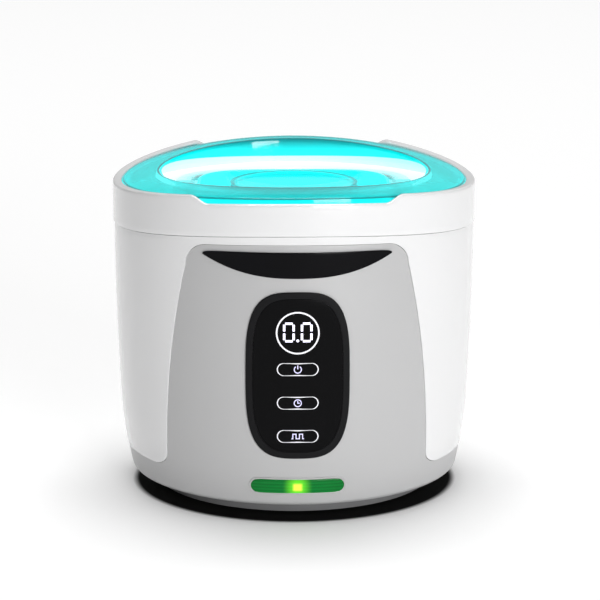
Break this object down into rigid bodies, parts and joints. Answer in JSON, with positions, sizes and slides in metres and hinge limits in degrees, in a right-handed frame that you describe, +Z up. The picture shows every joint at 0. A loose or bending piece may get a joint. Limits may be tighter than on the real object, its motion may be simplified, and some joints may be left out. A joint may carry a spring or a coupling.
{
  "type": "ultrasonic cleaner",
  "caption": "Round bench-top ultrasonic cleaner: steel tank in a white collar, grey tapered shell, touch panel, lift-off clear lid, hanging basket and bonded transducer.",
  "frame": {"origin": "on the table under the middle of the body", "axes": "+Z up, the control panel faces -Y, +X to the right of the panel"},
  "size_m": [0.2008, 0.2008, 0.1799],
  "materials": {
    "collar_white": "gloss",
    "sleeve_white": "gloss",
    "shell_grey": "fine satin texture",
    "base_dark": "matt",
    "foot_rubber": "matt",
    "zinc_steel": "bright zinc",
    "badge_black": "high gloss",
    "bezel_black": "satin",
    "glass_black": "high gloss",
    "lens_green": "clear tinted",
    "circuit_board": "solder mask",
    "led_yellow": "clear",
    "module_black": "matt",
    "contact_copper": "plated",
    "tank_steel": "deep drawn, polished",
    "gasket_silicone": "matt",
    "horn_aluminium": "machined",
    "piezo_ceramic": "ground",
    "mass_steel": "machined",
    "bolt_steel": "black oxide",
    "ferrite": "ground",
    "winding_copper": "enamelled wire",
    "capacitor_sleeve": "sleeve",
    "fuse_ceramic": "glazed",
    "connector_ivory": "nylon",
    "inlet_black": "matt",
    "lead_brown": "insulation",
    "lead_red": "insulation",
    "ribbon_grey": "insulation",
    "lid_cyan": "clear tinted gloss",
    "basket_clear": "translucent"
  },
  "bodies": {
    "housing": {"upper_collar": "collar_white", "main_shell": "shell_grey", "outer_sleeve": "sleeve_white", "base_plate": "base_dark", "rubber_feet": "foot_rubber", "base_screws": "zinc_steel", "collar_screws": "zinc_steel", "crescent_plate": "badge_black", "touch_bezel": "bezel_black", "touch_glass": "glass_black", "light_bar_lens": "lens_green", "light_bar_board": "circuit_board", "light_bar_leds": "led_yellow", "control_board": "circuit_board", "display_module": "module_black", "touch_springs": "contact_copper", "control_chip": "module_black", "buzzer": "module_black", "panel_screws": "zinc_steel", "tank": "tank_steel", "tank_gasket": "gasket_silicone", "transducer_horn": "horn_aluminium", "piezo_rings": "piezo_ceramic", "transducer_electrodes": "contact_copper", "transducer_back_mass": "mass_steel", "transducer_bolt": "bolt_steel", "driver_board": "circuit_board", "driver_screws": "zinc_steel", "transformer_core": "ferrite", "transformer_winding": "winding_copper", "line_inductor": "winding_copper", "filter_capacitors": "capacitor_sleeve", "heatsink": "horn_aluminium", "switching_transistors": "module_black", "fuse": "fuse_ceramic", "board_connectors": "connector_ivory", "mains_inlet": "inlet_black", "inlet_pins": "contact_copper", "mains_leads": "lead_brown", "transducer_leads": "lead_red", "panel_ribbon": "ribbon_grey"},
    "lid": {"lid": "lid_cyan"},
    "basket": {"basket": "basket_clear"}
  },
  "joints": [
    {"name": "lid_lift", "type": "slide", "parent": "housing", "child": "lid", "axis": [0, 0, 1], "range_m": [0, 0.16]},
    {"name": "basket_lift", "type": "slide", "parent": "housing", "child": "basket", "axis": [0, 0, 1], "range_m": [0, 0.08]}
  ],
  "couplings": [
    {"joint": "basket_lift", "follows": "lid_lift", "ratio": 0.5}
  ]
}
